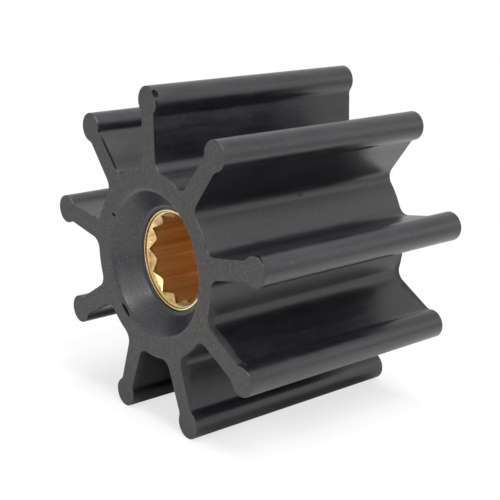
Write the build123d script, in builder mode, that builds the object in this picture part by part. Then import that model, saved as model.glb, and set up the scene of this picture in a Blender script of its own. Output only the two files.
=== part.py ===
from build123d import *
import os
from math import cos, degrees, radians, sin, tan

# Flexible impeller of a raw-water pump: nine straight rubber blades moulded in one piece with
# their hub, round a brass bush that slides on a splined shaft.
# The shaft's axis is Y, one blade stands straight up +Z, and the origin is on the axis, halfway
# between the two end faces. Millimetres.

# overall
tip_dia = 65.0            # circle round the blade tips
moulding_width = 47.5     # from end face to end face, along the shaft

# brass bush, from the bore outwards
groove_count = 12
minor_dia = 15.4          # across the tops of the spline teeth
groove_depth = 0.9
land_width = 0.4          # flat top of each tooth
spline_turn = 2.0         # angle of one groove from blade +Z, clockwise from the front
bush_wall = 0.9           # brass left outside the groove bottoms
rim_width = 0.25          # narrow flat round each end of the bush
lead_in_angle = 45.0      # slope of the turned lead-in, from the shaft's axis

# rubber hub, from the bush outwards
bond_gap = 0.0            # the rubber is moulded on to the brass and bonded to it
floor_ledge = 0.8         # flat collar of rubber round the end of the bush
dish_slope_width = 3.6    # sloping wall of the dish in each end, measured across the shaft
dish_depth = 4.8          # from the end face down to the bush
mouth_fillet = 2.0        # soft edge between the dish and the end face
floor_fillet = 0.8        # between the dish's wall and the collar
hub_land = 3.8            # ring of the end face, round the dish

# blades
blade_count = 9
root_thickness = 4.0      # at the hub
neck_thickness = 3.5      # under the bead
bead_dia = 5.5            # round sealing bead that runs along each tip
root_fillet = 2.2         # hub into blade
neck_fillet = 1.6         # blade into bead

# worked out from the sizes above
end_face = moulding_width / 2
bush_end = end_face - dish_depth
minor_radius = minor_dia / 2
major_radius = minor_radius + groove_depth
bush_radius = major_radius + bush_wall
bore_radius = bush_radius + bond_gap
floor_radius = bore_radius + floor_ledge
mouth_radius = floor_radius + dish_slope_width
hub_radius = mouth_radius + hub_land
bead_radius = bead_dia / 2
bead_centre = tip_dia / 2 - bead_radius
web_taper = (root_thickness - neck_thickness) / (bead_centre - hub_radius)
axis_thickness = root_thickness + web_taper * hub_radius
groove_half_angle = 180 / groove_count - degrees(land_width / 2 / minor_radius)
groove_edge_x = minor_radius * cos(radians(groove_half_angle))
groove_edge_y = minor_radius * sin(radians(groove_half_angle))
lead_in_radius = bush_radius - rim_width
lead_in_depth = lead_in_radius / tan(radians(lead_in_angle))

os.makedirs("parts", exist_ok=True)


# one blade, pointing along +X: a web that tapers all the way from the axis to its round bead
with BuildSketch() as blade:
    with BuildLine():
        Polyline(
            (0, -axis_thickness / 2),
            (bead_centre, -neck_thickness / 2),
            (bead_centre, neck_thickness / 2),
            (0, axis_thickness / 2),
            close=True,
        )
    make_face()
    with Locations((bead_centre, 0)):
        Circle(bead_radius)
    neck_corners = blade.vertices().filter_by_position(
        Axis.X, bead_centre - bead_radius, bead_centre
    )
    fillet(neck_corners, neck_fillet)

# the moulding's section across the shaft: the hub and all its blades
with BuildSketch(Plane.XZ) as section:
    Circle(hub_radius)
    with PolarLocations(0, blade_count, start_angle=90):
        add(blade.sketch)
    root_corners = section.vertices().sort_by_distance((0, 0, 0))[: 2 * blade_count]
    fillet(root_corners, root_fillet)

with BuildPart() as impeller_body:
    extrude(section.sketch, amount=end_face, both=True)
    # the dish in each end: half its outline, mirrored to the other end and turned about the shaft
    with BuildSketch(Plane.XY):
        with BuildLine():
            Polyline(
                (0, end_face),
                (mouth_radius, end_face),
                (floor_radius, bush_end),
                (0, bush_end),
                close=True,
            )
        make_face()
        mirror(about=Plane.XZ)
    revolve(axis=Axis.Y, mode=Mode.SUBTRACT)
    dish_mouths = impeller_body.edges().filter_by(
        lambda edge: edge.geom_type == GeomType.CIRCLE and abs(edge.radius - mouth_radius) < 0.01
    )
    fillet(dish_mouths, mouth_fillet)
    dish_floors = impeller_body.edges().filter_by(
        lambda edge: edge.geom_type == GeomType.CIRCLE and abs(edge.radius - floor_radius) < 0.01
    )
    fillet(dish_floors, floor_fillet)
    # bore that holds the bush
    with BuildSketch(Plane.XZ):
        Circle(bore_radius)
    extrude(amount=end_face, both=True, mode=Mode.SUBTRACT)

impeller_body.part.label = "impeller_body"
export_step(impeller_body.part, "parts/impeller_body.step")


# the bush: a tube whose bore carries V-shaped spline grooves, with a turned lead-in at each end
with BuildPart() as splined_bush:
    with BuildSketch(Plane.XZ):
        Circle(bush_radius)
        Circle(minor_radius, mode=Mode.SUBTRACT)
        # a groove's flanks meet the bore at the edges of its lands, and the cut ends on the axis
        with PolarLocations(0, groove_count, start_angle=90 - spline_turn):
            Polygon(
                (0, 0),
                (groove_edge_x, -groove_edge_y),
                (major_radius, 0),
                (groove_edge_x, groove_edge_y),
                align=None,
                mode=Mode.SUBTRACT,
            )
    extrude(amount=bush_end, both=True)
    with BuildSketch(Plane.XY):
        with BuildLine():
            Polyline(
                (0, bush_end),
                (lead_in_radius, bush_end),
                (0, bush_end - lead_in_depth),
                close=True,
            )
        make_face()
        mirror(about=Plane.XZ)
    revolve(axis=Axis.Y, mode=Mode.SUBTRACT)

splined_bush.part.label = "splined_bush"
export_step(splined_bush.part, "parts/splined_bush.step")
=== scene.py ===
"""Looks of the rubber pump impeller: a black nitrile moulding on a brass bush.

The shaft's axis is Y, blade 0 stands straight up +Z, and the front end face is at -Y.
"""

import math

import bmesh
import bpy
from mathutils import Matrix, Vector

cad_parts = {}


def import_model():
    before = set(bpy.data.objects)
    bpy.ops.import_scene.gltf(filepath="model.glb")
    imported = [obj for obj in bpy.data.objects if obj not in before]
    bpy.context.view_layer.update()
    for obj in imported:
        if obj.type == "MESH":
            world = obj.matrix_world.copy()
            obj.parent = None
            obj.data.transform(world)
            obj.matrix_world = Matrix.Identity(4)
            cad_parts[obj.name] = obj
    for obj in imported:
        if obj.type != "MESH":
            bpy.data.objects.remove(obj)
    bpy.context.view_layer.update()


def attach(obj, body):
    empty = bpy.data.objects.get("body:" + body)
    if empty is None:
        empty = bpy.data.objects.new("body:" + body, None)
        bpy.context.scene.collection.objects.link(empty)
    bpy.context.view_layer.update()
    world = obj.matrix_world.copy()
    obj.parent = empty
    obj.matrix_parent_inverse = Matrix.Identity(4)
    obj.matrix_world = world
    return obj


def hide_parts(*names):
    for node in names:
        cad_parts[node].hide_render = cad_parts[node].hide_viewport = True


MM = 0.001

# Sizes and places are in millimetres, unless a comment says otherwise.

# sizes of the moulding and the bush
BLADE_COUNT = 9
END_FACE = 23.75          # from mid-length to either end face
BEAD_CENTRE = 29.75
BEAD_RADIUS = 2.75
HALF_WEB_AT_AXIS = 2.367  # the web's sides, drawn on to the shaft's axis
WEB_SLOPE = 0.02074       # how much each side leans in, per millimetre of height
NECK_ROUND = 1.6
ROOT_ROUND = 2.2
HUB_RADIUS = 17.7
MOUTH_RADIUS = 13.9
MOUTH_ROUND = 2.0
FLOOR_RADIUS = 10.3
FLOOR_ROUND = 0.8
BUSH_END = 18.95
BUSH_RADIUS = 9.5
LEAD_IN_RADIUS = 9.25
TOOTH_RADIUS = 7.7
GROOVE_RADIUS = 8.6
GROOVE_COUNT = 12
LAND_WIDTH = 0.4
SPLINE_TURN = 2.0         # degrees from blade 0 to the nearest groove, clockwise
FLOOR_LEVEL = -30.706     # the two lowest beads stand on this height

# finish of the moulding and the bush
EDGE_ROUND = 0.10         # trimmed edge between the end faces and the sides
GAP_WIDTH = 0.30          # narrow gap in the rubber, beside the brass
GAP_DEPTH = 0.22
GAP_PROFILE = (           # steps (along, up) down into that gap
    (0.05, -0.04), (0.17, -0.06), (0, -0.20))
RIM_BREAK = 0.08          # broken outer edge of the bush
RIM_PROFILE = (           # steps (along, up) from the tooth tops to the bush's outside:
    (-1.02, 1.02),        # the lead-in cone,
    (-0.14, 0.30), (0.14, 0.04), (-0.36, 0.05), (-0.17, 0.04),      # a fine groove and a step,
    (0, 0.27), (RIM_BREAK, RIM_BREAK))                              # the flat rim and its edge

# how finely the meshes are cut
TURNS = 144               # straight runs in a full turned circle
SMOOTH_BELOW = 24         # degrees; sharper edges stay crisp
EDGE_RINGS = (0.35, 0.6, 0.9, 1.3, 1.8)     # rings this far from either end face
RING_STEP = 1.45          # rings between those, for even faces along the sides
HALF_RINGS = 14

# zones of the moulding that its material tells apart
SIDE_ZONE = 16.5          # farther from the axis are its sides, nearer are dish and bore
DISH_ZONE = 18.0          # farther from mid-length are the dishes
END_ZONE = 21.0           # farther still are the end faces

WHITE = (1, 1, 1, 1)      # plain white, as a linear colour


# ---- small tools -------------------------------------------------------------------------------


def deselect_all():
    """Leaves nothing selected and nothing in edit mode."""
    if bpy.context.object and bpy.context.object.mode != "OBJECT":
        bpy.ops.object.mode_set(mode="OBJECT")
    for thing in list(bpy.context.selected_objects):
        thing.select_set(False)


def take(piece):
    """Makes one piece the only selected and active one."""
    deselect_all()
    piece.select_set(True)
    bpy.context.view_layer.objects.active = piece


def pick(piece, kind, test):
    """In edit mode, selects the EDGE or FACE items that pass the test."""
    bpy.ops.mesh.select_mode(type=kind)
    bpy.ops.mesh.select_all(action="DESELECT")
    mesh = bmesh.from_edit_mesh(piece.data)
    for item in {"EDGE": mesh.edges, "FACE": mesh.faces}[kind]:
        if test(item):
            item.select_set(True)
    mesh.select_flush_mode()
    bmesh.update_edit_mesh(piece.data)


def start_point(name, across, along, up):
    """A new piece of a single point, from a small plane merged to its middle; left in edit mode."""
    deselect_all()
    place = (across * MM, along * MM, up * MM)
    bpy.ops.mesh.primitive_plane_add(size=MM, location=place)
    piece = bpy.context.object
    piece.name = name
    bpy.ops.object.transform_apply(location=True, rotation=True, scale=True)
    bpy.ops.object.mode_set(mode="EDIT")
    bpy.ops.mesh.select_mode(type="VERT")
    bpy.ops.mesh.select_all(action="SELECT")
    bpy.ops.mesh.merge(type="CENTER")
    return piece


def draw_line(across, along, up, runs=1):
    """Draws the selected point out by a step in millimetres, in equal runs."""
    step = (across * MM / runs, along * MM / runs, up * MM / runs)
    for _ in range(runs):
        bpy.ops.mesh.extrude_vertices_move(TRANSFORM_OT_translate={"value": step})


def draw_arc(centre, degrees, runs, axis=(0, -1, 0)):
    """Draws the selected point out round a centre; from +Z it turns towards +X."""
    place = [value * MM for value in centre]
    bpy.ops.mesh.spin(steps=runs, angle=math.radians(degrees), center=place, axis=axis)


def draw_profile(steps):
    """Draws the selected point out by a row of (along, up) steps."""
    for along, up in steps:
        draw_line(0, along, up)


def turn_profile():
    """Turns the whole profile in edit mode once round the shaft's axis."""
    bpy.ops.mesh.select_all(action="SELECT")
    bpy.ops.mesh.spin(steps=TURNS, angle=math.tau, center=(0, 0, 0), axis=(0, 1, 0))
    bpy.ops.mesh.select_all(action="SELECT")
    bpy.ops.mesh.remove_doubles(threshold=0.001 * MM)


def apply_modifier(piece, kind, **settings):
    """Adds one modifier and applies it."""
    take(piece)
    modifier = piece.modifiers.new(kind.title(), kind)
    for name, value in settings.items():
        setattr(modifier, name, value)
    bpy.ops.object.modifier_apply(modifier=modifier.name)


def clean_faces():
    """Merges doubles and turns every face outwards; in edit mode."""
    bpy.ops.mesh.select_all(action="SELECT")
    bpy.ops.mesh.remove_doubles(threshold=0.001 * MM)
    bpy.ops.mesh.normals_make_consistent(inside=False)


# ---- rubber moulding ---------------------------------------------------------------------------


def fillet_centre(round_radius, from_height, reach, above):
    """Centre (across, up) of a fillet that touches the web's right side, at a given reach from a
    point on the blade's middle line."""
    lean = math.atan(WEB_SLOPE)
    along_web = Vector((-math.sin(lean), math.cos(lean)))
    off_web = Vector((math.cos(lean), math.sin(lean)))
    start = Vector((HALF_WEB_AT_AXIS, 0)) + off_web * round_radius
    offset = start - Vector((0, from_height))
    middle = -offset.dot(along_web)
    half = math.sqrt(middle ** 2 - offset.length_squared + reach ** 2)
    return start + along_web * (middle + half if above else middle - half)


def clockwise_from_top(vector):
    """Angle of a (across, up) direction, clockwise from straight up, in degrees."""
    return math.degrees(math.atan2(vector.x, vector.y))


def make_outline(level):
    """The moulding's whole outline across the shaft, as one closed loop."""
    lean = math.degrees(math.atan(WEB_SLOPE))
    neck = fillet_centre(NECK_ROUND, BEAD_CENTRE, BEAD_RADIUS + NECK_ROUND, False)
    root = fillet_centre(ROOT_ROUND, 0, HUB_RADIUS + ROOT_ROUND, True)
    bead_angle = clockwise_from_top(neck - Vector((0, BEAD_CENTRE)))
    root_angle = clockwise_from_top(root)
    off_web = Vector((math.cos(math.radians(lean)), math.sin(math.radians(lean))))
    web = (root - off_web * ROOT_ROUND) - (neck - off_web * NECK_ROUND)
    piece = start_point("nitrile_moulding", 0, level, BEAD_CENTRE + BEAD_RADIUS)
    draw_arc((0, level, BEAD_CENTRE), bead_angle, 16)
    draw_arc((neck.x, level, neck.y), -(bead_angle - 90 + lean), 5)
    draw_line(web.x, 0, web.y, runs=6)
    draw_arc((root.x, level, root.y), -(90 - lean - root_angle), 8)
    draw_arc((0, level, 0), 180 / BLADE_COUNT - root_angle, 3)
    bpy.ops.object.mode_set(mode="OBJECT")
    apply_modifier(piece, "MIRROR", merge_threshold=0.002 * MM)
    bpy.ops.object.mode_set(mode="EDIT")
    bpy.ops.mesh.select_all(action="SELECT")
    part_turn = math.tau * (BLADE_COUNT - 1) / BLADE_COUNT
    bpy.ops.mesh.spin(steps=BLADE_COUNT - 1, angle=part_turn, dupli=True, center=(0, 0, 0),
                      axis=(0, -1, 0))
    bpy.ops.mesh.select_all(action="SELECT")
    bpy.ops.mesh.remove_doubles(threshold=0.005 * MM)
    return piece


def is_end_face(face):
    """Whether a face looks along the shaft."""
    return abs(face.normal.y) > 0.99


def extrude_moulding(piece, level):
    """Makes the outline solid from end to end and rounds its trimmed edges in three steps; a
    narrow ring inside them keeps the end faces' shading flat."""
    bpy.ops.mesh.select_all(action="SELECT")
    bpy.ops.mesh.edge_face_add()
    length = (0, -2 * level * MM, 0)
    bpy.ops.mesh.extrude_region_move(TRANSFORM_OT_translate={"value": length})
    clean_faces()
    chord = 2 * math.sin(math.radians(15)) * EDGE_ROUND * MM      # one step, a third of 90 degrees
    for angle in (15, 45, 75):
        pick(piece, "FACE", is_end_face)
        bpy.ops.mesh.inset(thickness=chord * math.sin(math.radians(angle)),
                           depth=chord * math.cos(math.radians(angle)))
    pick(piece, "FACE", is_end_face)
    bpy.ops.mesh.inset(thickness=0.15 * MM)


def cut_rings(levels):
    """In edit mode, cuts the piece all round at each height along the shaft."""
    for level in levels:
        bpy.ops.mesh.select_all(action="SELECT")
        bpy.ops.mesh.bisect(plane_co=(0, level * MM, 0), plane_no=(0, 1, 0))


def make_dish():
    """Turned inner surface: the dish in each end and the bore that holds the bush."""
    slope = math.atan2(END_FACE - BUSH_END, MOUTH_RADIUS - FLOOR_RADIUS)
    cut_back = math.tan(slope / 2)      # of each side by a fillet, per millimetre of its radius
    mouth = MOUTH_RADIUS + MOUTH_ROUND * cut_back
    floor = FLOOR_RADIUS - FLOOR_ROUND * cut_back
    rounds = (MOUTH_ROUND + FLOOR_ROUND) * cut_back
    run_in = MOUTH_RADIUS - FLOOR_RADIUS - rounds * math.cos(slope)
    run_down = END_FACE - BUSH_END - rounds * math.sin(slope)
    margin = 0.3                        # flat strip outside the fillet, part of the end face
    piece = start_point("dish", 0, -END_FACE, mouth + margin)
    draw_line(0, 0, -margin)
    draw_arc((0, -END_FACE + MOUTH_ROUND, mouth), -math.degrees(slope), 10, axis=(1, 0, 0))
    draw_line(0, run_down, -run_in, runs=4)
    draw_arc((0, -BUSH_END - FLOOR_ROUND, floor), math.degrees(slope), 6, axis=(1, 0, 0))
    draw_line(0, 0, -(floor - BUSH_RADIUS - GAP_WIDTH))
    draw_profile(GAP_PROFILE)
    draw_line(0, BUSH_END - GAP_DEPTH, 0, runs=4)
    bpy.ops.object.mode_set(mode="OBJECT")
    apply_modifier(piece, "MIRROR", use_axis=(False, True, False), merge_threshold=0.002 * MM)
    bpy.ops.object.mode_set(mode="EDIT")
    turn_profile()
    bpy.ops.object.mode_set(mode="OBJECT")
    return piece


def close_end_faces(body, dish):
    """Joins the dish to the body and fills the flat end faces between the two."""
    take(body)
    bpy.ops.object.mode_set(mode="EDIT")
    inner = END_FACE - 0.001
    pick(body, "FACE", lambda face: abs(face.calc_center_median().y) > inner * MM
         and len(face.verts) > 4)
    bpy.ops.mesh.delete(type="ONLY_FACE")
    bpy.ops.object.mode_set(mode="OBJECT")
    dish.select_set(True)
    bpy.ops.object.join()
    bpy.ops.object.mode_set(mode="EDIT")
    for end in (-1, 1):
        pick(body, "EDGE", lambda edge: edge.is_boundary
             and min(end * vert.co.y for vert in edge.verts) > inner * MM)
        bpy.ops.mesh.fill(use_beauty=True)
    clean_faces()
    bpy.ops.object.mode_set(mode="OBJECT")


def make_moulding():
    """The nitrile moulding: hub, nine blades with their beads, and a dish in each end."""
    level = -(END_FACE - EDGE_ROUND)
    body = make_outline(level)
    extrude_moulding(body, level)
    cut_rings([side * (END_FACE - step) for side in (-1, 1) for step in EDGE_RINGS])
    cut_rings([RING_STEP * step for step in range(-HALF_RINGS, HALF_RINGS + 1)])
    bpy.ops.object.mode_set(mode="OBJECT")
    close_end_faces(body, make_dish())
    return body


# ---- marks left by trimming and handling -------------------------------------------------------


def on_blade(blade, across, along, up):
    """Place on a blade, in millimetres: across it clockwise, along the shaft and up the blade."""
    turn = math.tau * blade / BLADE_COUNT
    return (across * math.cos(turn) + up * math.sin(turn), along,
            up * math.cos(turn) - across * math.sin(turn))


def raise_flash(body, blade, low, high):
    """Draws a thin ragged line of flash out of one web, beside the front end: the faces between
    two rings are cut in three strips, and the middle strip is drawn out."""
    middle = (EDGE_RINGS[2] + EDGE_RINGS[3]) / 2 - END_FACE

    def beside_end(face):
        place = face.calc_center_median() / MM
        turn = math.tau * blade / BLADE_COUNT
        up = place.x * math.sin(turn) + place.z * math.cos(turn)
        across = place.x * math.cos(turn) - place.z * math.sin(turn)
        return abs(place.y - middle) < 0.2 and -4 < across < -1 and low < up < high

    take(body)
    bpy.ops.object.mode_set(mode="EDIT")
    pick(body, "FACE", beside_end)
    bpy.ops.mesh.subdivide(number_cuts=2)
    pick(body, "FACE", lambda face: beside_end(face)
         and abs(face.calc_center_median().y - middle * MM) < 0.05 * MM)
    bpy.ops.mesh.extrude_region_shrink_fatten(TRANSFORM_OT_shrink_fatten={"value": 0.28 * MM})
    bpy.ops.transform.vertex_random(offset=0.09 * MM, seed=4)
    bpy.ops.object.mode_set(mode="OBJECT")


def rough_lump(place, half_sizes, turns, seed):
    """A small uneven lump; half sizes in millimetres, turned about Y and then Z in degrees."""
    deselect_all()
    bpy.ops.mesh.primitive_ico_sphere_add(
        subdivisions=2, radius=MM, location=[value * MM for value in place],
        rotation=(0, math.radians(turns[0]), math.radians(turns[1])), scale=half_sizes)
    lump = bpy.context.object
    bpy.ops.object.transform_apply(location=True, rotation=True, scale=True)
    bpy.ops.object.mode_set(mode="EDIT")
    bpy.ops.mesh.select_all(action="SELECT")
    bpy.ops.transform.vertex_random(offset=0.22 * min(half_sizes) * MM, seed=seed)
    bpy.ops.object.mode_set(mode="OBJECT")
    return lump


def join_all(lumps, name):
    """Joins lumps into one object of this name."""
    take(lumps[0])
    for lump in lumps[1:]:
        lump.select_set(True)
    bpy.ops.object.join()
    lumps[0].name = name
    return lumps[0]


def make_tears():
    """Cutters for the tears and pits. Each row: place, half sizes, turns and random seed."""
    rows = (
        # blade 0: front edge of the bead, twice its neck, a pit in its side, and down the web
        (on_blade(0, 2.25, -23.5, 31.35), (0.85, 0.62, 0.5), (54, 0), 1),
        (on_blade(0, 2.82, -23.72, 29.7), (0.16, 0.36, 0.8), (0, 0), 2),
        (on_blade(0, 2.1, -23.72, 27.6), (0.2, 0.36, 0.55), (0, 0), 8),
        (on_blade(0, 2.5, -14.4, 28.5), (0.3, 0.16, 0.5), (0, 0), 10),
        (on_blade(0, 1.92, -23.4, 23.3), (0.2, 0.17, 3.5), (0, 0), 13),
        # blade 8, beside it: one long thin tear down the web
        (on_blade(8, 1.94, -23.6, 23.8), (0.2, 0.32, 5.2), (320, 0), 14),
        # two ticks side by side on the hub
        (on_blade(1.23, 0, 0.0, 17.95), (0.6, 0.13, 0.2), (49, 0), 11),
        (on_blade(1.22, 0, 0.65, 17.95), (0.5, 0.11, 0.18), (49, 0), 12),
        # blade 2: slash in the front edge of its bead
        ((30.17, -23.3, 7.57), (1.45, 0.17, 0.42), (17, -14), 5),
        # slot and pit in the dish's mouth
        (on_blade(5.5, 0, -23.7, 14.25), (1.65, 0.62, 0.34), (220, 0), 6),
        (on_blade(7.5, 0, -23.65, 14.1), (0.24, 0.4, 0.55), (315, 0), 7))
    return join_all([rough_lump(*row) for row in rows], "tears")


def mark_moulding(body, torn_shaded):
    """Flash beside one root, a loose flap at the hub's edge, and tears and pits; the tears' faces
    take a darker rubber whose black is partly painted shade.
    """
    raise_flash(body, blade=3, low=19.2, high=28.6)
    flap = rough_lump(on_blade(7, 3.5, -23.3, 17.0), (1.1, 0.42, 1.1), (291, 0), 3)
    apply_modifier(body, "BOOLEAN", object=flap, operation="UNION", solver="EXACT")
    bpy.data.objects.remove(flap)
    tears = make_tears()
    # the tears' faces take the darker rubber; its black is partly painted shade of the hollows
    put_material(tears, torn_shaded)
    apply_modifier(body, "BOOLEAN", object=tears, operation="DIFFERENCE", solver="EXACT",
                   material_mode="TRANSFER")
    bpy.data.objects.remove(tears)


# ---- brass bush --------------------------------------------------------------------------------


def make_blank():
    """Turned brass blank: plain bore, lead-in cones, and a fine step inside each rim."""
    piece = start_point("brass_bush", 0, 0, TOOTH_RADIUS)
    lead_in = BUSH_END - (LEAD_IN_RADIUS - TOOTH_RADIUS)
    draw_line(0, -lead_in, 0, runs=6)
    draw_profile(RIM_PROFILE)
    draw_line(0, BUSH_END - RIM_BREAK, 0, runs=3)
    bpy.ops.object.mode_set(mode="OBJECT")
    apply_modifier(piece, "MIRROR", use_axis=(False, True, False), merge_threshold=0.002 * MM)
    bpy.ops.object.mode_set(mode="EDIT")
    turn_profile()
    clean_faces()
    bpy.ops.object.mode_set(mode="OBJECT")
    return piece


def make_broach():
    """Twelve V-shaped cutters in a ring, longer than the bush and drawn on into its bore; each
    has a narrow flat along its tip."""
    overrun = 2          # past either end of the bush
    drawn_on = 0.05      # of the flanks inside the bore, for a clean cut
    half_tip = 0.04      # half the flat along the tip
    short = 0.02         # how far that flat stops before the point of the V
    inner = 5.0          # radius of the cutters' feet
    half_angle = math.pi / GROOVE_COUNT - math.asin(LAND_WIDTH / 2 / TOOTH_RADIUS)
    edge_up = TOOTH_RADIUS * math.cos(half_angle)
    edge_across = TOOTH_RADIUS * math.sin(half_angle)
    lean = edge_across / (GROOVE_RADIUS - edge_up)
    neck = inner * math.tan(half_angle)
    edge_up -= drawn_on
    edge_across += drawn_on * lean
    piece = start_point("broach", -neck, -BUSH_END - overrun, inner)
    draw_line(neck - edge_across, 0, edge_up - inner)
    draw_line(edge_across - half_tip, 0, GROOVE_RADIUS - short - edge_up)
    draw_line(2 * half_tip, 0, 0)
    draw_line(edge_across - half_tip, 0, edge_up - GROOVE_RADIUS + short)
    draw_line(neck - edge_across, 0, inner - edge_up)
    bpy.ops.mesh.select_all(action="SELECT")
    bpy.ops.mesh.edge_face_add()
    length = (0, 2 * (BUSH_END + overrun) * MM, 0)
    bpy.ops.mesh.extrude_region_move(TRANSFORM_OT_translate={"value": length})
    bpy.ops.mesh.select_all(action="SELECT")
    part_turn = math.tau * (GROOVE_COUNT - 1) / GROOVE_COUNT
    bpy.ops.mesh.spin(steps=GROOVE_COUNT - 1, angle=part_turn, dupli=True, center=(0, 0, 0),
                      axis=(0, 1, 0))
    clean_faces()
    bpy.ops.object.mode_set(mode="OBJECT")
    piece.rotation_euler = (0, math.radians(SPLINE_TURN), 0)
    bpy.ops.object.transform_apply(location=False, rotation=True, scale=False)
    return piece


def make_bush():
    """The splined brass bush: the blank with its grooves broached and its edges broken."""
    bush = make_blank()
    broach = make_broach()
    apply_modifier(bush, "BOOLEAN", object=broach, operation="DIFFERENCE", solver="EXACT")
    bpy.data.objects.remove(broach)
    apply_modifier(bush, "BEVEL", width=0.04 * MM, segments=2, limit_method="ANGLE",
                   angle_limit=math.radians(28), use_clamp_overlap=True)
    take(bush)
    bpy.ops.object.shade_smooth_by_angle(angle=math.radians(SMOOTH_BELOW))
    return bush


# ---- materials ---------------------------------------------------------------------------------


def linear(code):
    """An sRGB hex colour as linear RGBA."""
    parts = [int(code[place:place + 2], 16) / 255 for place in (1, 3, 5)]
    return [v / 12.92 if v <= 0.04045 else ((v + 0.055) / 1.055) ** 2.4 for v in parts] + [1.0]


def per_mm(size):
    """Texture scale for features of this size in millimetres."""
    return 1 / (size * MM)


def add_node(tree, kind, inputs=(), **settings):
    """Adds one node with its settings. The inputs in use are given in order or by name: an output
    or another node is linked, anything else is set as a value."""
    node = tree.nodes.new("ShaderNode" + kind)
    for name, value in settings.items():
        setattr(node, name, value)
    sockets = [socket for socket in node.inputs if socket.enabled]
    if isinstance(inputs, dict):
        names = [socket.name for socket in sockets]
        sockets = [sockets[names.index(name)] for name in inputs]
        inputs = inputs.values()
    for socket, value in zip(sockets, inputs):
        if isinstance(value, bpy.types.Node):
            value = next(output for output in value.outputs if output.enabled)
        if isinstance(value, bpy.types.NodeSocket):
            tree.links.new(value, socket)
        else:
            socket.default_value = value
    return node


def new_material(name):
    """An empty material; returns it and its node tree."""
    material = bpy.data.materials.new(name)
    material.use_nodes = True
    material.node_tree.nodes.clear()
    return material, material.node_tree


def distance_from_axis(tree, where):
    """How far a point is from the shaft's axis."""
    across = add_node(tree, "Mapping", {"Vector": where, "Scale": (1, 0, 1)})
    return add_node(tree, "VectorMath", [across], operation="LENGTH")


def rubber_zones(tree, place):
    """Where on the moulding a point is: its distances from mid-length and from the axis, and its
    shares of the trimmed end faces, the dishes, the sides, the webs and the lower half."""
    where = add_node(tree, "SeparateXYZ", [place.outputs["Object"]]).outputs
    facing = add_node(tree, "SeparateXYZ", [place.outputs["Normal"]]).outputs
    far = add_node(tree, "Math", [where["Y"]], operation="ABSOLUTE")
    reach = distance_from_axis(tree, place.outputs["Object"])
    flat = add_node(tree, "Math", [facing["Y"]], operation="ABSOLUTE")
    flat = add_node(tree, "MapRange", [flat, 0.80, 0.99])
    at_end = add_node(tree, "Math", [far, END_ZONE * MM], operation="GREATER_THAN")
    below_bore = add_node(tree, "Math", [far, DISH_ZONE * MM], operation="GREATER_THAN")
    inside = add_node(tree, "Math", [reach, SIDE_ZONE * MM], operation="LESS_THAN")
    side = add_node(tree, "Math", [reach, SIDE_ZONE * MM], operation="GREATER_THAN")
    below_bead = add_node(tree, "MapRange", [reach, 27.0 * MM, 28.5 * MM, 1, 0])
    return {
        "far": far, "reach": reach, "side": side,
        "end": add_node(tree, "Math", [flat, at_end], operation="MULTIPLY"),
        "dish": add_node(tree, "Math", [inside, below_bore], operation="MULTIPLY"),
        "web": add_node(tree, "Math", [side, below_bead], operation="MULTIPLY"),
        "lower": add_node(tree, "MapRange", [where["Z"], -5 * MM, 1 * MM, 1, 0])}


def trimmed_tone(tree, grain, specks):
    """Dark grey of the trimmed end faces, with pale specks of filler."""
    shade = add_node(tree, "MapRange", [grain, 0.36, 0.64])
    grey = add_node(tree, "Mix", [shade, linear("#2b2a2a"), linear("#3b3a3a")], data_type="RGBA")
    share = add_node(tree, "MapRange", [specks, 0.66, 0.76, 0, 0.6])
    return add_node(tree, "Mix", [share, grey, linear("#6b6760")], data_type="RGBA")


def dish_tone(tree, grain, specks):
    """Bluish black of the dish, with fainter specks."""
    shade = add_node(tree, "MapRange", [grain, 0.36, 0.64])
    black = add_node(tree, "Mix", [shade, linear("#0e1018"), linear("#1e2029")], data_type="RGBA")
    share = add_node(tree, "MapRange", [specks, 0.62, 0.74, 0, 0.5])
    return add_node(tree, "Mix", [share, black, linear("#5a5955")], data_type="RGBA")


def moulded_tone(tree, where, streaks, patches):
    """Near black of the moulded sides, with faint streaks, cloudy patches and paler rubs."""
    shade = add_node(tree, "MapRange", [streaks, 0.35, 0.68])
    black = add_node(tree, "Mix", [shade, linear("#0e0d14"), linear("#14131a")], data_type="RGBA")
    share = add_node(tree, "MapRange", [patches, 0.45, 0.75, 0, 0.5])
    cloudy = add_node(tree, "Mix", [share, black, linear("#1c1b1d")], data_type="RGBA")
    along = add_node(tree, "Mapping", {"Vector": where, "Scale": (1, 0.45, 1)})
    rubs = add_node(tree, "TexNoise", {"Vector": along, "Scale": per_mm(1.0), "Detail": 2.0})
    share = add_node(tree, "MapRange", [rubs, 0.70, 0.76, 0, 0.5])
    return add_node(tree, "Mix", [share, cloudy, linear("#2e2d2e")], data_type="RGBA")


def dust_share(tree, where):
    """Share of the dust that clings to the rubber."""
    dust = add_node(tree, "TexNoise", {"Vector": where, "Scale": per_mm(0.5), "Detail": 2.0})
    return add_node(tree, "MapRange", [dust, 0.61, 0.73, 0, 0.45])


def scuffed_share(tree, zones, grain, patches):
    """Share of the scuffed band beside the end faces, on the lower webs; its edge wanders."""
    wander = add_node(tree, "MapRange", [patches, 0.35, 0.65, 0.3 * MM, 1.5 * MM])
    fray = add_node(tree, "MapRange", [grain, 0.3, 0.7, -0.15 * MM, 0.15 * MM])
    ragged = add_node(tree, "Math", [wander, fray], operation="ADD")
    ragged = add_node(tree, "Math", [zones["far"], ragged], operation="ADD")
    band = add_node(tree, "MapRange", [ragged, (END_FACE - 0.9) * MM, END_FACE * MM])
    band = add_node(tree, "Math", [band, zones["lower"]], operation="MULTIPLY")
    return add_node(tree, "Math", [band, zones["web"]], operation="MULTIPLY")


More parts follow.
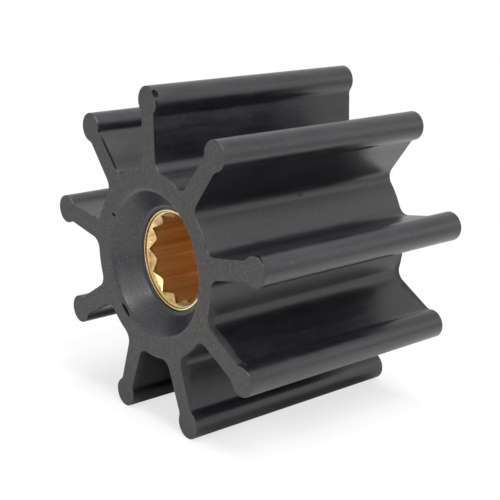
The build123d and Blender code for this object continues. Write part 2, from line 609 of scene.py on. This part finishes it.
def tear_shade_share(tree, where, zones):
    """Share of the short shallow tears in the webs, close to the end faces; their black is partly
    painted shade along the trimmed edge.
    """
    band = add_node(tree, "MapRange", [
        zones["far"], (END_FACE - 0.45) * MM, (END_FACE - 0.33) * MM])
    tears = add_node(tree, "TexNoise", {"Vector": where, "Scale": per_mm(1.4), "Detail": 2.0})
    tears = add_node(tree, "MapRange", [tears, 0.54, 0.60])
    band = add_node(tree, "Math", [band, tears], operation="MULTIPLY")
    return add_node(tree, "Math", [band, zones["web"]], operation="MULTIPLY")


def side_roughness(tree, zones, streaks, patches):
    """Satin of the moulded sides, which the streaks and patches vary; duller on the hub."""
    streaks = add_node(tree, "Math", [streaks, 0.6], operation="MULTIPLY")
    patches = add_node(tree, "Math", [patches, 0.4], operation="MULTIPLY")
    varied = add_node(tree, "Math", [streaks, patches], operation="ADD")
    satin = add_node(tree, "MapRange", [varied, 0.36, 0.64, 0.28, 0.37])
    hub = add_node(tree, "MapRange", [zones["reach"], 18.3 * MM, 20.3 * MM, 0.07, 0])
    hub = add_node(tree, "Math", [zones["side"], hub], operation="MULTIPLY")
    return add_node(tree, "Math", [satin, hub], operation="ADD")


def rubber_bump(tree, zones, scuffed, grain, patches):
    """Fine grain where the rubber is matt, and a slow unevenness everywhere."""
    scuffed = add_node(tree, "Math", [scuffed, 0.7], operation="MULTIPLY")
    dish = add_node(tree, "Math", [zones["dish"], 0.6], operation="MULTIPLY")
    matt = add_node(tree, "Math", [scuffed, dish], operation="MAXIMUM")
    matt = add_node(tree, "Math", [zones["end"], matt], operation="MAXIMUM")
    fine = add_node(tree, "Math", [grain, matt], operation="MULTIPLY")
    slow = add_node(tree, "Math", [patches, 0.5], operation="MULTIPLY")
    height = add_node(tree, "Math", [fine, slow], operation="ADD")
    return add_node(tree, "Bump", {"Height": height, "Strength": 0.5, "Distance": 0.07 * MM})


def nitrile_rubber():
    """Black nitrile rubber, compression moulded in a polished mould and trimmed across its ends.
    Moulded sides are satin and nearly black, with faint rubs and dust; the dish is bluish and
    dustier. The trimmed ends are matt dark grey with pale specks, and beside them the lower webs
    are scuffed grey. Grain and specks of filler are really finer than 0.1 mm, and are drawn about
    0.4 mm coarse so that they show."""
    material, tree = new_material("moulded_nitrile_rubber")
    place = add_node(tree, "TexCoord")
    where = place.outputs["Object"]
    zones = rubber_zones(tree, place)
    along = add_node(tree, "Mapping", {"Vector": where, "Scale": (1, 0.12, 1)})
    streaks = add_node(tree, "TexNoise", {"Vector": along, "Scale": per_mm(1.1), "Detail": 2.0})
    grain = add_node(tree, "TexNoise", {"Vector": where, "Scale": per_mm(0.42), "Detail": 3.0})
    specks = add_node(tree, "TexNoise", {"Vector": where, "Scale": per_mm(0.34), "Detail": 1.0})
    patches = add_node(tree, "TexNoise", {"Vector": where, "Scale": per_mm(5.0), "Detail": 2.0})
    scuffed = scuffed_share(tree, zones, grain, patches)
    torn_shaded = tear_shade_share(tree, where, zones)
    tone = moulded_tone(tree, where, streaks, patches)
    for share, over in ((zones["dish"], dish_tone(tree, grain, specks)),
                        (dust_share(tree, where), linear("#3a393c")),
                        (scuffed, linear("#1c1b20")),
                        # dark tears beside the end faces; their black is partly painted shade along
                        # the trimmed edge
                        (torn_shaded, linear("#0b0b0c")),
                        (zones["end"], trimmed_tone(tree, grain, specks))):
        tone = add_node(tree, "Mix", [share, tone, over], data_type="RGBA")
    dull = add_node(tree, "Math", [scuffed, torn_shaded], operation="MAXIMUM")
    dull = add_node(tree, "Math", [dull, 0.75], operation="MULTIPLY")
    rough = side_roughness(tree, zones, streaks, patches)
    rough = add_node(tree, "Math", [rough, dull], operation="MAXIMUM")
    rough = add_node(tree, "Mix", [zones["end"], rough, 0.78], data_type="FLOAT")
    shader = add_node(tree, "BsdfPrincipled", {
        "Base Color": tone, "Roughness": rough, "IOR": 1.55, "Specular Tint": linear("#fffefa"),
        "Normal": rubber_bump(tree, zones, scuffed, grain, patches)})
    add_node(tree, "OutputMaterial", {"Surface": shader})
    return material


def shaded_torn_rubber():
    """Nitrile rubber in the tears and pits: quite dull, and black partly as painted shade of these
    small hollows.
    """
    material, tree = new_material("shaded_torn_nitrile_rubber")
    where = add_node(tree, "TexCoord").outputs["Object"]
    pits = add_node(tree, "TexNoise", {"Vector": where, "Scale": per_mm(0.25), "Detail": 3.0})
    shade = add_node(tree, "MapRange", [pits, 0.35, 0.65])
    # black and near black: partly painted shade of the hollows that these faces line
    tone = add_node(tree, "Mix", [shade, linear("#060607"), linear("#131313")], data_type="RGBA")
    shader = add_node(tree, "BsdfPrincipled", {
        "Base Color": tone, "Roughness": 0.9, "IOR": 1.52, "Specular IOR Level": 0.2,
        "Normal": add_node(tree, "Bump", {"Height": pits, "Strength": 0.8, "Distance": 0.1 * MM})})
    add_node(tree, "OutputMaterial", {"Surface": shader})
    return material


def lead_in_tone(tree, where, cloud):
    """Mottled pale gold of the lead-in, and the paler turned rim round it."""
    shade = add_node(tree, "MapRange", [cloud, 0.36, 0.64])
    gold = add_node(tree, "Mix", [shade, linear("#967540"), linear("#d0b67a")], data_type="RGBA")
    rim = add_node(tree, "MapRange", [distance_from_axis(tree, where), 8.8 * MM, 8.95 * MM, 0, 0.8])
    return add_node(tree, "Mix", [rim, gold, linear("#d8c490")], data_type="RGBA")


def bore_tone_with_painted_light(tree, along, level):
    """Redder brass of the bore, warmed and brightened away from the front end by painted light."""
    shade = add_node(tree, "MapRange", [along, 0.34, 0.66])
    brass = add_node(tree, "Mix", [shade, linear("#cba36d"), linear("#e4bc84")], data_type="RGBA")
    # painted light: the bore grows warmer and brighter towards the back end
    share = add_node(tree, "MapRange", [level, -14 * MM, 12 * MM, 0, 0.6])
    return add_node(tree, "Mix", [share, brass, linear("#f0ba70")], data_type="RGBA")


def turned_brass():
    """Leaded brass, turned and broached, with a thin film of oil left on its ends: pale mottled
    gold at the rim and lead-in with white glints, and a redder bore with faint lines along it,
    which painted light warms and brightens towards the back.
    Broached lines are really finer than 0.1 mm, and are drawn 0.7 mm coarse so that they show."""
    material, tree = new_material("turned_brass")
    where = add_node(tree, "TexCoord").outputs["Object"]
    level = add_node(tree, "SeparateXYZ", [where]).outputs["Y"]
    far = add_node(tree, "Math", [level], operation="ABSOLUTE")
    inside = add_node(tree, "MapRange", [far, 17.0 * MM, 18.2 * MM, 1, 0])
    lengthwise = add_node(tree, "Mapping", {"Vector": where, "Scale": (1, 0.03, 1)})
    along = add_node(tree, "TexNoise", {
        "Vector": lengthwise, "Scale": per_mm(0.7), "Detail": 3.0})
    cloud = add_node(tree, "TexNoise", {"Vector": where, "Scale": per_mm(0.9), "Detail": 3.0})
    tone = add_node(tree, "Mix", [inside, lead_in_tone(tree, where, cloud),
                                  bore_tone_with_painted_light(tree, along, level)], data_type="RGBA")
    height = add_node(tree, "Math", [cloud, 0.6], operation="MULTIPLY")
    height = add_node(tree, "Math", [along, height], operation="ADD")
    bump = add_node(tree, "Bump", {"Height": height, "Strength": 0.4, "Distance": 0.02 * MM})
    shader = add_node(tree, "BsdfPrincipled", {
        "Base Color": tone, "Metallic": 1.0, "Normal": bump, "Coat Roughness": 0.2,
        "Roughness": add_node(tree, "MapRange", [inside, 0, 1, 0.27, 0.46]),
        "Coat Weight": add_node(tree, "MapRange", [inside, 0, 1, 0.8, 0])})
    add_node(tree, "OutputMaterial", {"Surface": shader})
    return material


def studio_paper():
    """Matt white paper that keeps a pale soft shadow close to the part and is plain white away
    from it; mirrors see more of the shadow than the camera does."""
    material, tree = new_material("studio_paper")
    where = add_node(tree, "TexCoord").outputs["Object"]
    distance = add_node(tree, "VectorMath", [where], operation="LENGTH")
    rays = add_node(tree, "LightPath").outputs
    seen = add_node(tree, "MapRange", [distance, 60 * MM, 200 * MM, 0.7],
                    interpolation_type="SMOOTHSTEP")
    seen = add_node(tree, "Math", [rays["Is Camera Ray"], seen], operation="MULTIPLY")
    mirrored = add_node(tree, "Math", [rays["Is Glossy Ray"], rays["Is Transmission Ray"]],
                        operation="MAXIMUM")
    fade = add_node(tree, "MapRange", [distance, 50 * MM, 260 * MM],
                    interpolation_type="SMOOTHSTEP")
    mirrored = add_node(tree, "Math", [mirrored, fade], operation="MULTIPLY")
    plain = add_node(tree, "Math", [seen, mirrored], operation="MAXIMUM")
    paper = add_node(tree, "BsdfDiffuse", {"Color": linear("#f0f0ef")})
    white = add_node(tree, "Emission", {"Color": WHITE, "Strength": 1.0})
    mix = add_node(tree, "MixShader", [plain, paper, white])
    add_node(tree, "OutputMaterial", {"Surface": mix})
    return material


def put_material(piece, material):
    """Gives a piece this one material."""
    piece.data.materials.clear()
    piece.data.materials.append(material)


# ---- studio ------------------------------------------------------------------------------------


def lay_floor():
    """A sheet of paper six metres wide under the impeller."""
    deselect_all()
    bpy.ops.mesh.primitive_plane_add(size=6, location=(0, 0, FLOOR_LEVEL * MM))
    floor = bpy.context.object
    floor.name = "floor_paper"
    bpy.ops.object.transform_apply(location=True, rotation=True, scale=True)
    put_material(floor, studio_paper())


def hang_lamp(name, place, size, watts):
    """A square soft lamp at a place, turned to the middle of the part; metres and watts."""
    lamp = bpy.data.lights.new(name, "AREA")
    lamp.shape = "SQUARE"
    lamp.size = size
    lamp.energy = watts
    holder = bpy.data.objects.new(name, lamp)
    bpy.context.collection.objects.link(holder)
    direction = Vector((0, 0, 0)) - Vector(place)
    holder.matrix_world = (Matrix.Translation(place)
                           @ direction.to_track_quat("-Z", "Y").to_matrix().to_4x4())


def raise_tent():
    """White surround: full white where it is seen or mirrored, a dim fill elsewhere."""
    world = bpy.data.worlds.new("white_tent")
    bpy.context.scene.world = world
    world.use_nodes = True
    tree = world.node_tree
    tree.nodes.clear()
    rays = add_node(tree, "LightPath").outputs
    seen = add_node(tree, "Math", [rays["Is Camera Ray"], rays["Is Glossy Ray"]],
                    operation="MAXIMUM")
    seen = add_node(tree, "Math", [seen, rays["Is Transmission Ray"]], operation="MAXIMUM")
    level = add_node(tree, "MapRange", [seen, 0, 1, 0.3, 1.0])
    sky = add_node(tree, "Background", {"Color": WHITE, "Strength": level})
    add_node(tree, "OutputWorld", {"Surface": sky})


def light_studio():
    """A white tent, with soft lamps above and on the right."""
    raise_tent()
    for name, place, size, watts in (
            ("lamp_above", (0.0, 0.0, 0.6), 0.3, 2.7),
            ("lamp_high_right", (0.34, 0.0, 0.494), 0.3, 2.8),
            ("lamp_high_front", (0.096, -0.444, 0.390), 0.16, 0.7),
            ("lamp_front_right", (0.365, -0.365, 0.305), 0.3, 0.35),
            ("lamp_low_right", (0.572, -0.090, 0.157), 0.3, 1.1),
            ("lamp_back_right", (0.360, 0.450, 0.168), 0.3, 0.2)):
        hang_lamp(name, place, size, watts)


def place_camera():
    """Looks down a little on the front end and the right side."""
    camera = bpy.data.cameras.new("camera")
    camera.sensor_width = 36
    camera.lens = 83.29
    camera.clip_start = 0.01
    camera.clip_end = 20
    holder = bpy.data.objects.new("camera", camera)
    bpy.context.collection.objects.link(holder)
    place = Vector((167.69, -137.66, 58.18)) * MM
    forward = Vector((-0.7466, 0.6103, -0.2649)).normalized()
    up = Vector((-0.2020, 0.1715, 0.9643))
    right = forward.cross(up).normalized()
    up = right.cross(forward)
    turn = Matrix((right, up, -forward)).transposed().to_4x4()
    holder.matrix_world = Matrix.Translation(place) @ turn
    bpy.context.scene.camera = holder


# ---- the whole scene ---------------------------------------------------------------------------


def main():
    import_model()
    moulding = make_moulding()
    put_material(moulding, nitrile_rubber())
    mark_moulding(moulding, shaded_torn_rubber())
    take(moulding)
    bpy.ops.object.shade_smooth_by_angle(angle=math.radians(SMOOTH_BELOW))
    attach(moulding, "root")
    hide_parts("impeller_body")
    bush = make_bush()
    put_material(bush, turned_brass())
    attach(bush, "root")
    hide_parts("splined_bush")
    lay_floor()
    light_studio()
    place_camera()
    bpy.context.scene.view_settings.view_transform = "Standard"


main()
